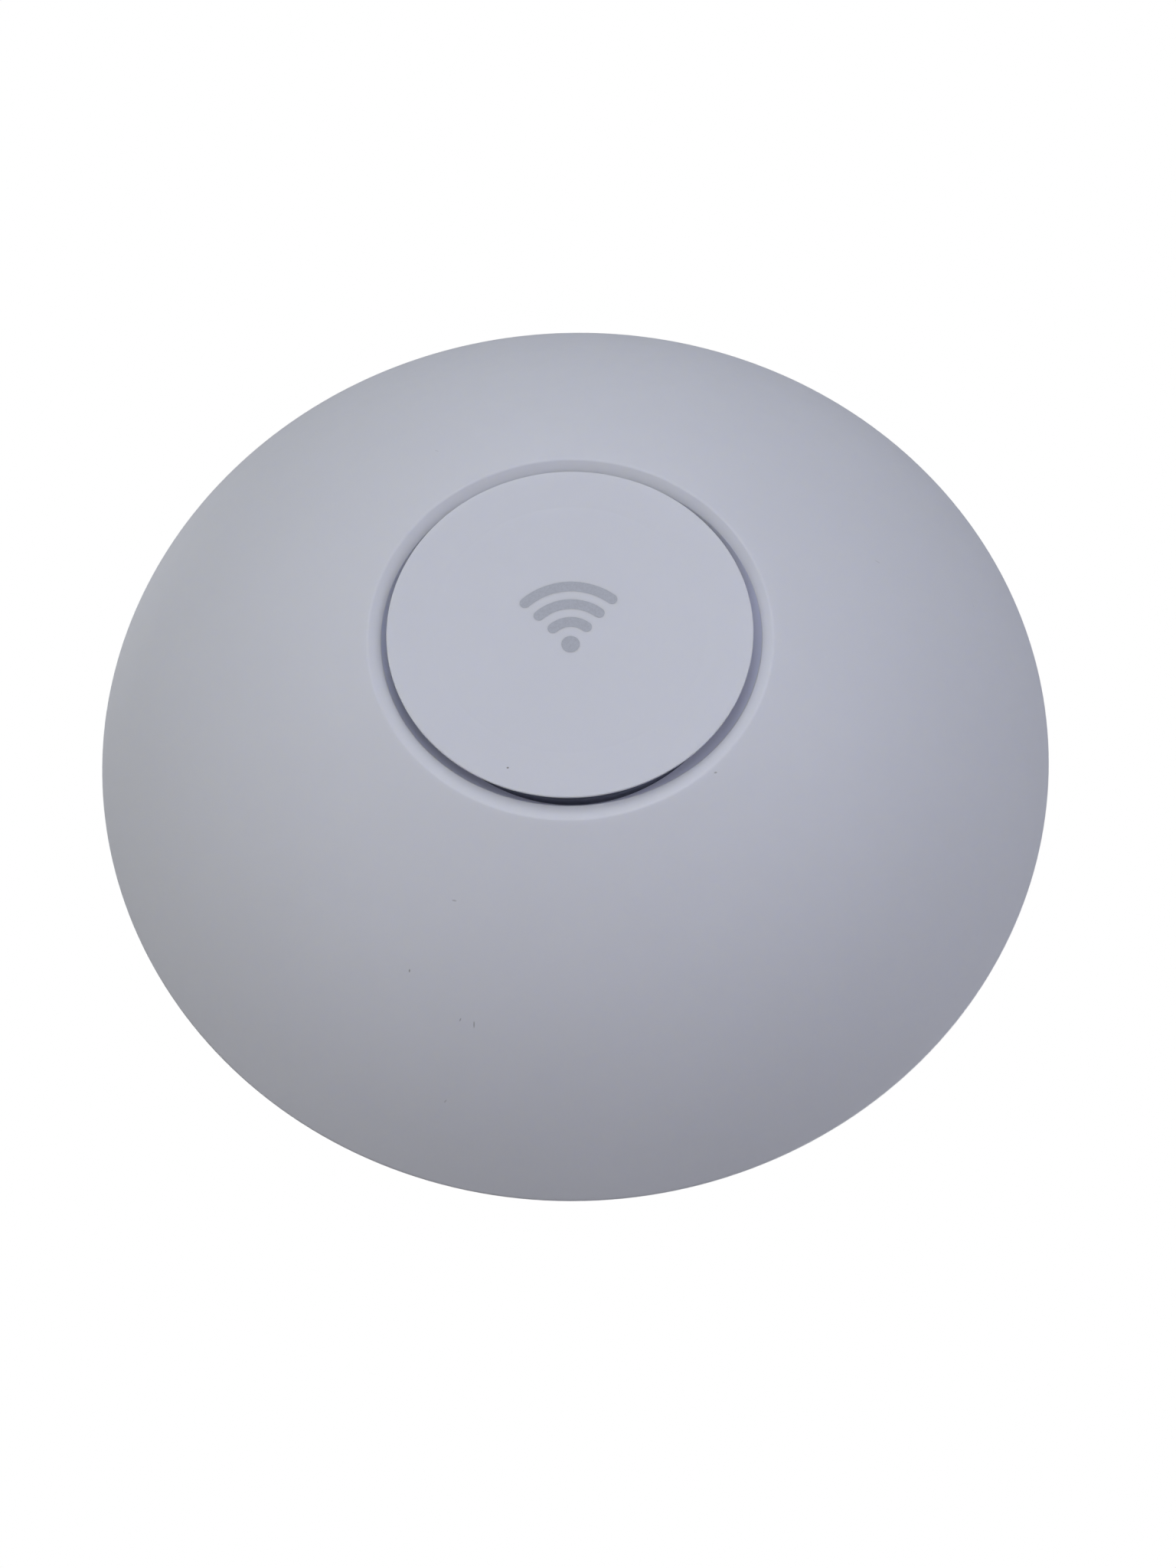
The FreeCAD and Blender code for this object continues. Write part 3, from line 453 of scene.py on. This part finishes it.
def capacitor_material():
    """Dark sleeve below, bare pressed can on top."""
    mat, nt, bsdf = tree("capacitor_can")
    lo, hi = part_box("capacitors")
    z = node(nt, "ShaderNodeSeparateXYZ", Vector=where(nt)).outputs[2]
    top = maths(nt, "GREATER_THAN", z, hi.z - 0.0006)
    f = noise(nt, 900.0)
    base = mixed(nt, top, (0.025, 0.03, 0.05), (0.68, 0.69, 0.71))
    put(nt, bsdf, Base_Color=mixed(nt, span(nt, f, 0.0, 0.3), base, (0.3, 0.3, 0.32)), Metallic=top, Roughness=span(nt, f, 0.28, 0.4), Normal=bump(nt, f, 0.3, 0.00001))
    return mat


look = {
    "base_plastic": plastic("base_plastic", (0.60, 0.615, 0.655), 0.52, 2200.0, 0.000020, 0.02, 0.4, dirt=(0.50, 0.50, 0.50)),
    "label_film": label_material(),
    "galvanised_steel": metal("galvanised_steel", (0.62, 0.63, 0.645), 0.38, (1.0, 14.0, 1.0), 260.0, 0.00001, (0.5, 0.51, 0.53)),
    "spring_steel": metal("spring_steel", (0.50, 0.51, 0.53), 0.32, (16.0, 1.0, 1.0), 400.0),
    "case_screw_steel": metal("case_screw_steel", (0.50, 0.51, 0.53), 0.32, (1.0, 1.0, 8.0), 700.0),
    "screw_steel": metal("screw_steel", (0.58, 0.58, 0.60), 0.3, (1.0, 1.0, 8.0), 700.0),
    "white_board": board_material("white_board", (0.70, 0.70, 0.68), (0.8, 0.6, 0.3)),
    "circuit_board": board_material("circuit_board", (0.012, 0.075, 0.04), (0.78, 0.62, 0.32)),
    "led_package": plastic("led_package", (0.80, 0.74, 0.42), 0.25, 1800.0, 0.000006, 0.05, 0.6),
    "flex_film": plastic("flex_film", (0.48, 0.22, 0.03), 0.3, 1500.0, 0.000008, 0.06, 0.5),
    "socket_plastic": plastic("socket_plastic", (0.72, 0.69, 0.58), 0.45, 2000.0, 0.00001, 0.03),
    "deck_plastic": plastic("deck_plastic", (0.022, 0.022, 0.024), 0.5, 2000.0, 0.00002, 0.1),
    "antenna_metal": metal("antenna_metal", (0.70, 0.68, 0.60), 0.3, (1.0, 1.0, 12.0), 600.0),
    "plated_brass": metal("plated_brass", (0.80, 0.60, 0.25), 0.24, (1.0, 1.0, 6.0), 900.0),
    "plated_contacts": metal("plated_contacts", (0.86, 0.64, 0.26), 0.18, (1.0, 10.0, 1.0), 900.0),
    "coax_jacket": plastic("coax_jacket", (0.02, 0.02, 0.022), 0.32, 2600.0, 0.000008, 0.1, 0.5),
    "heat_plate_metal": metal("heat_plate_metal", (0.76, 0.77, 0.78), 0.42, (1.0, 1.0, 1.0), 1600.0, 0.00001),
    "shield_metal": metal("shield_metal", (0.70, 0.71, 0.72), 0.26, (10.0, 1.0, 1.0), 500.0),
    "chip_black": plastic("chip_black", (0.014, 0.014, 0.016), 0.42, 3000.0, 0.00001, 0.08),
    "thermal_pad": plastic("thermal_pad", (0.30, 0.38, 0.50), 0.7, 1400.0, 0.00004, 0.06, 0.3),
    "jack_metal": metal("jack_metal", (0.72, 0.71, 0.69), 0.24, (1.0, 12.0, 1.0), 500.0),
    "jack_plastic": plastic("jack_plastic", (0.018, 0.018, 0.02), 0.45, 2200.0, 0.000014, 0.1),
    "ferrite": plastic("ferrite", (0.03, 0.03, 0.032), 0.6, 1600.0, 0.00003, 0.12),
    "capacitor_can": capacitor_material(),
    "switch_metal": metal("switch_metal", (0.62, 0.62, 0.63), 0.28, (1.0, 8.0, 1.0), 700.0),
    "button_plastic": plastic("button_plastic", (0.03, 0.03, 0.032), 0.4, 2400.0, 0.00001, 0.1),
    "light_guide": guide_painted_shade_material(),
    "white_plastic": dome_mat,
    "disc_plastic": disc_mat,
}

slots = {s["node"]: s["material_slot"] for s in frame["record"]["subparts"]}
for name, obj in nodes.items():
    mat = look[slots[name]]
    if not obj.material_slots:
        obj.data.materials.append(mat)
    for s in obj.material_slots:
        s.material = mat


# ------------------------------------------------------------------ dome shell
def crown(radius, r):
    return CROWN_Z + math.sqrt(radius * radius - r * r)


def crown_run(radius, r0, r1, n):
    """Points down or up a crown of that radius, evenly spaced in angle."""
    a0, a1 = math.asin(r0 / radius), math.asin(r1 / radius)
    return [(radius * math.sin(a0 + (a1 - a0) * k / n), CROWN_Z + radius * math.cos(a0 + (a1 - a0) * k / n)) for k in range(n + 1)]


# the recess as moulded, relative to the rim: across, along, near lip, far lip, tilt, near floor
LIP_PLAY = (0.22, 0.05, 0.60, -0.50, 0.45, -0.80)


def make_dome():
    inner = CROWN_R - WALL
    tangent = math.degrees(math.atan2(RIM_Z - CROWN_Z, RIM_R - EDGE))
    tr = (RIM_R - EDGE) * CROWN_R / (CROWN_R - EDGE)
    back_r = LIP_R + 1.75
    loop = [(WELL_R, WELL_Z - 1.5, 0.15), (WELL_R + 1.4, WELL_Z - 1.5, 0.15), (back_r, crown(inner, back_r), 0.6)]
    loop += crown_run(inner, back_r + 1.6, SKIRT_R - 1.0, 40)
    under = RIM_R - EDGE + 0.70711 * EDGE - (RIM_Z - 0.70711 * EDGE - RIM_LOW)
    loop += [(SKIRT_R, crown(inner, SKIRT_R), 0.4), (SKIRT_R, RIM_LOW, 0.3), (under, RIM_LOW, 0.6)]
    loop += arc(RIM_R - EDGE, RIM_Z, EDGE, -45.0, tangent - 1.0, 16)
    loop += crown_run(CROWN_R, tr - 0.3, BEVEL_R + 1.0, 72)
    loop += [(BEVEL_R, crown(CROWN_R, BEVEL_R), 1.0), (LIP_R, LIP_Z, 0.3), (WELL_R, WELL_Z, 0.4)]
    dome = spun("dome_shell", filleted(loop, 7), 256, 40.0)
    bosses = []
    lo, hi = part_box("case_screws")
    reach = math.hypot((lo.x + hi.x) / 2, 0)
    radius = 88.0
    for k in range(4):
        bm = bmesh.new()
        r0, r1 = radius - 3.5, radius + 3.5
        spin_into(bm, [(r0, 3.7), (r1, 3.7), (r1, crown(inner, r1) + 1.2), (r0, crown(inner, r0) + 1.2)], 2, 45 + 90 * k - 2.3, 4.6)
        bosses.append(finish_mesh("boss_%d" % k, bm))
    joined(dome, bosses)
    for v in dome.data.vertices:
        r, z = math.hypot(v.co.x, v.co.y) / MM, v.co.z / MM
        k = min(1.0, max(0.0, (BEVEL_R - 0.3 - r) / (BEVEL_R - LIP_R - 0.8))) if z > 30 else 0.0
        side = -v.co.y / MM / max(r, 1.0)
        near, far = max(0.0, side) ** 2, max(0.0, -side) ** 2
        high = min(1.0, max(0.0, (z - WELL_Z) / 5.0))
        v.co.x += k * LIP_PLAY[0] * MM
        v.co.y += k * (LIP_PLAY[1] + high * (near * LIP_PLAY[2] + far * LIP_PLAY[3]) + (1 - high) * near ** 3 * LIP_PLAY[5]) * MM
        v.co.z += k * high * side * LIP_PLAY[4] * MM
    dome.data.materials.clear()
    dome.data.materials.append(dome_mat)
    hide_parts("dome_cover")
    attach(dome, "access_point")
    return dome


make_dome()


# ------------------------------------------------------------------ centre disc and its printed mark
INK = 0.02
DISC_PLAY = (-0.05, -0.16)    # the disc's snap fit leaves it a hair off the axis


def make_disc():
    top = DISC_TOP - INK
    low = disc_lo.z / MM
    slit = DISC_TOP - 5.5
    loop = [
        (0, top - 2),
        (STEM_IN, top - 2, 0.4),
        (STEM_IN, slit),
        (STEM_OUT, slit),
        (STEM_OUT, top - 2.15, 0.5),
        (DISC_R - 1.9, top - 1.98, 0.3),
        (DISC_R - 0.02, top - 0.42, 0.1),
        (DISC_R, top, 0.26),
        (DISC_R - 2.0, top),
        (STEM_OUT, top),
        (STEM_OUT / 2, top),
        (0, top),
    ]
    disc = spun("disc_cap", filleted(loop, 8), 256, 40.0)
    legs = []
    for k in range(6):
        bm = bmesh.new()
        # each leg ends in a snap hook on every second one
        prof = [(STEM_IN, low), (STEM_OUT, low)]
        if k % 2 == 0:
            prof = [(STEM_IN, low), (STEM_OUT + 0.4, low), (STEM_OUT + 1.3, low + 1.2), (STEM_OUT + 1.3, low + 1.5), (STEM_OUT, low + 1.5)]
        prof += [(STEM_OUT, slit + 0.2), (STEM_IN, slit + 0.2)]
        spin_into(bm, prof, 12, 60 * k - (8 if k % 2 == 0 else 20), 16 if k % 2 == 0 else 40)
        legs.append(finish_mesh("leg_%d" % k, bm))
    joined(disc, legs)
    for v in disc.data.vertices:
        v.co.x += DISC_PLAY[0] * MM
        v.co.y += DISC_PLAY[1] * MM
    disc.data.materials.clear()
    disc.data.materials.append(disc_mat)
    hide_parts("centre_disc")
    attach(disc, "access_point")


make_disc()


def make_mark():
    """A generic wireless sign: a dot and three rounded arcs, as a thin film of ink."""
    z0, z1 = DISC_TOP - INK - 0.01, DISC_TOP
    bm = bmesh.new()
    cx, cy = DISC_PLAY[0], DISC_PLAY[1] - 3.9
    width, half = 2.1, 42.0
    prism_into(bm, [(cx + 1.75 * math.cos(2 * math.pi * k / 48), cy + 1.75 * math.sin(2 * math.pi * k / 48)) for k in range(48)], z0, z1)
    for radius in (4.8, 8.7, 12.6):
        pts = arc(cx, cy, radius + width / 2, 90 - half, 90 + half, 48)
        ex, ey = cx + radius * math.cos(math.radians(90 + half)), cy + radius * math.sin(math.radians(90 + half))
        pts += arc(ex, ey, width / 2, 90 + half, 270 + half, 14)[1:-1]
        pts += arc(cx, cy, radius - width / 2, 90 + half, 90 - half, 48)
        ex, ey = cx + radius * math.cos(math.radians(90 - half)), cy + radius * math.sin(math.radians(90 - half))
        pts += arc(ex, ey, width / 2, -90 - half, 90 - half, 14)[1:-1]
        prism_into(bm, pts, z0, z1)
    mark = finish_mesh("disc_mark", bm)
    mark.data.materials.append(ink_material())
    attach(mark, "access_point")


make_mark()


# ------------------------------------------------------------------ light ring
def make_light_ring():
    z0, z1 = ring_lo.z / MM, ring_hi.z / MM
    loop = [
        (STEM_OUT + 0.15, z0, 0.1),
        (28.4, z0),
        (28.4, z0 + 1.2),
        (31.6, z0 + 1.2),
        (31.6, z0),
        (WELL_R + 2.5, z0, 0.1),
        (WELL_R + 2.5, z1 - 1.6, 0.1),
        (WELL_R - 0.15, z1 - 1.6),
        (WELL_R - 0.15, z1, 0.15),
        (STEM_OUT + 0.15, z1, 0.15),
    ]
    ring = spun("light_guide_ring", filleted(loop, 4), 192, 30.0)
    ring.data.materials.append(look["light_guide"])
    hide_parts("light_ring")
    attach(ring, "access_point")


make_light_ring()


# ------------------------------------------------------------------ floor and light
def make_stage():
    bm = bmesh.new()
    for x, y in ((-1, -1), (1, -1), (1, 1), (-1, 1)):
        bm.verts.new((x * 19.0, y * 19.0, -0.0004))
    bm.faces.new(bm.verts[:])
    floor = finish_mesh("floor", bm)
    mat, nt, bsdf = tree("floor_paper")
    f = noise(nt, 30.0)
    put(nt, bsdf, Base_Color=mixed(nt, span(nt, f, 0.0, 1.0), (0.49, 0.49, 0.49), (0.51, 0.51, 0.51)), Roughness=0.9, Specular_IOR_Level=0.0)
    glow = node(nt, "ShaderNodeEmission", Color=rgb((1, 1, 1)), Strength=1.0)
    path = node(nt, "ShaderNodeLightPath")
    lit = node(nt, "ShaderNodeMixShader", Fac=path.outputs["Is Camera Ray"])
    nt.links.new(bsdf.outputs[0], lit.inputs[1])
    nt.links.new(glow.outputs[0], lit.inputs[2])
    # clear glass from below, so that the underside can be looked at and lit
    open_below = maths(nt, "MAXIMUM", node(nt, "ShaderNodeNewGeometry").outputs["Backfacing"], path.outputs["Is Shadow Ray"])
    both = node(nt, "ShaderNodeMixShader", Fac=open_below)
    nt.links.new(lit.outputs[0], both.inputs[1])
    nt.links.new(node(nt, "ShaderNodeBsdfTransparent").outputs[0], both.inputs[2])
    nt.links.new(both.outputs[0], nt.nodes["Material Output"].inputs["Surface"])
    floor.data.materials.append(mat)


def area(name, place, target, size, power, colour):
    data = bpy.data.lights.new(name, "AREA")
    data.shape, data.size, data.energy, data.color = "DISK", size, power, colour
    lamp = bpy.data.objects.new(name, data)
    lamp.location = place
    lamp.rotation_euler = (Vector(target) - Vector(place)).to_track_quat("-Z", "Y").to_euler()
    scene.collection.objects.link(lamp)
    return lamp


make_stage()
# one wide cool window beyond the far side, a warmer card low on the left, small panels and one large
# one overhead, and three below the clear floor for the underside
LIGHTS = {
    "far_right": ((0.704, 0.704, 0.836), 0.8, (0.805, 0.829, 0.985)),
    "far": ((0.0, 0.996, 0.836), 0.8, (3.484, 3.617, 3.978)),
    "far_left": ((-0.704, 0.704, 0.836), 0.8, (2.209, 2.279, 2.401)),
    "left_card": ((-1.222, 0.0, 0.445), 0.8, (0.642, 0.597, 0.322)),
    "top_right": ((0.25, 0.0, 0.34), 0.2, (0.240, 0.247, 0.282)),
    "top_left": ((-0.25, 0.0, 0.34), 0.2, (0.123, 0.126, 0.134)),
    "top_front": ((0.0, -0.25, 0.34), 0.2, (0.078, 0.075, 0.084)),
    "top_front_right": ((0.22, -0.22, 0.34), 0.2, (0.142, 0.143, 0.163)),
    "top_front_left": ((-0.22, -0.22, 0.34), 0.2, (0.178, 0.178, 0.189)),
    "under_left": ((-0.7, 0.5, -0.8), 0.8, (3.7, 3.75, 3.8)),
    "under_right": ((0.7, -0.4, -0.8), 0.8, (5.6, 5.65, 5.8)),
    "under_middle": ((0.1, 0.1, -1.1), 0.5, (1.4, 1.4, 1.4)),
    "overhead": ((0.0, 0.0, 1.2), 0.6, (0.859, 0.890, 0.993)),
}
for name, (place, size, watts) in LIGHTS.items():
    power = max(watts)
    lamp = area(name, place, (0, 0, 0.02), size, power, tuple(w / power for w in watts))
    lamp.visible_camera = False
world = bpy.data.worlds.new("studio")
scene.world = world
world.use_nodes = True
sky = world.node_tree.nodes["Background"]
sky.inputs["Color"].default_value = (0.9, 0.93, 1.0, 1.0)
sky.inputs["Strength"].default_value = 0.004
backdrop = node(world.node_tree, "ShaderNodeBackground", Color=(1.0, 1.0, 1.0, 1.0), Strength=1.0)
pick = node(world.node_tree, "ShaderNodeMixShader", Fac=node(world.node_tree, "ShaderNodeLightPath").outputs["Is Camera Ray"])
world.node_tree.links.new(sky.outputs[0], pick.inputs[1])
world.node_tree.links.new(backdrop.outputs[0], pick.inputs[2])
world.node_tree.links.new(pick.outputs[0], world.node_tree.nodes["World Output"].inputs["Surface"])
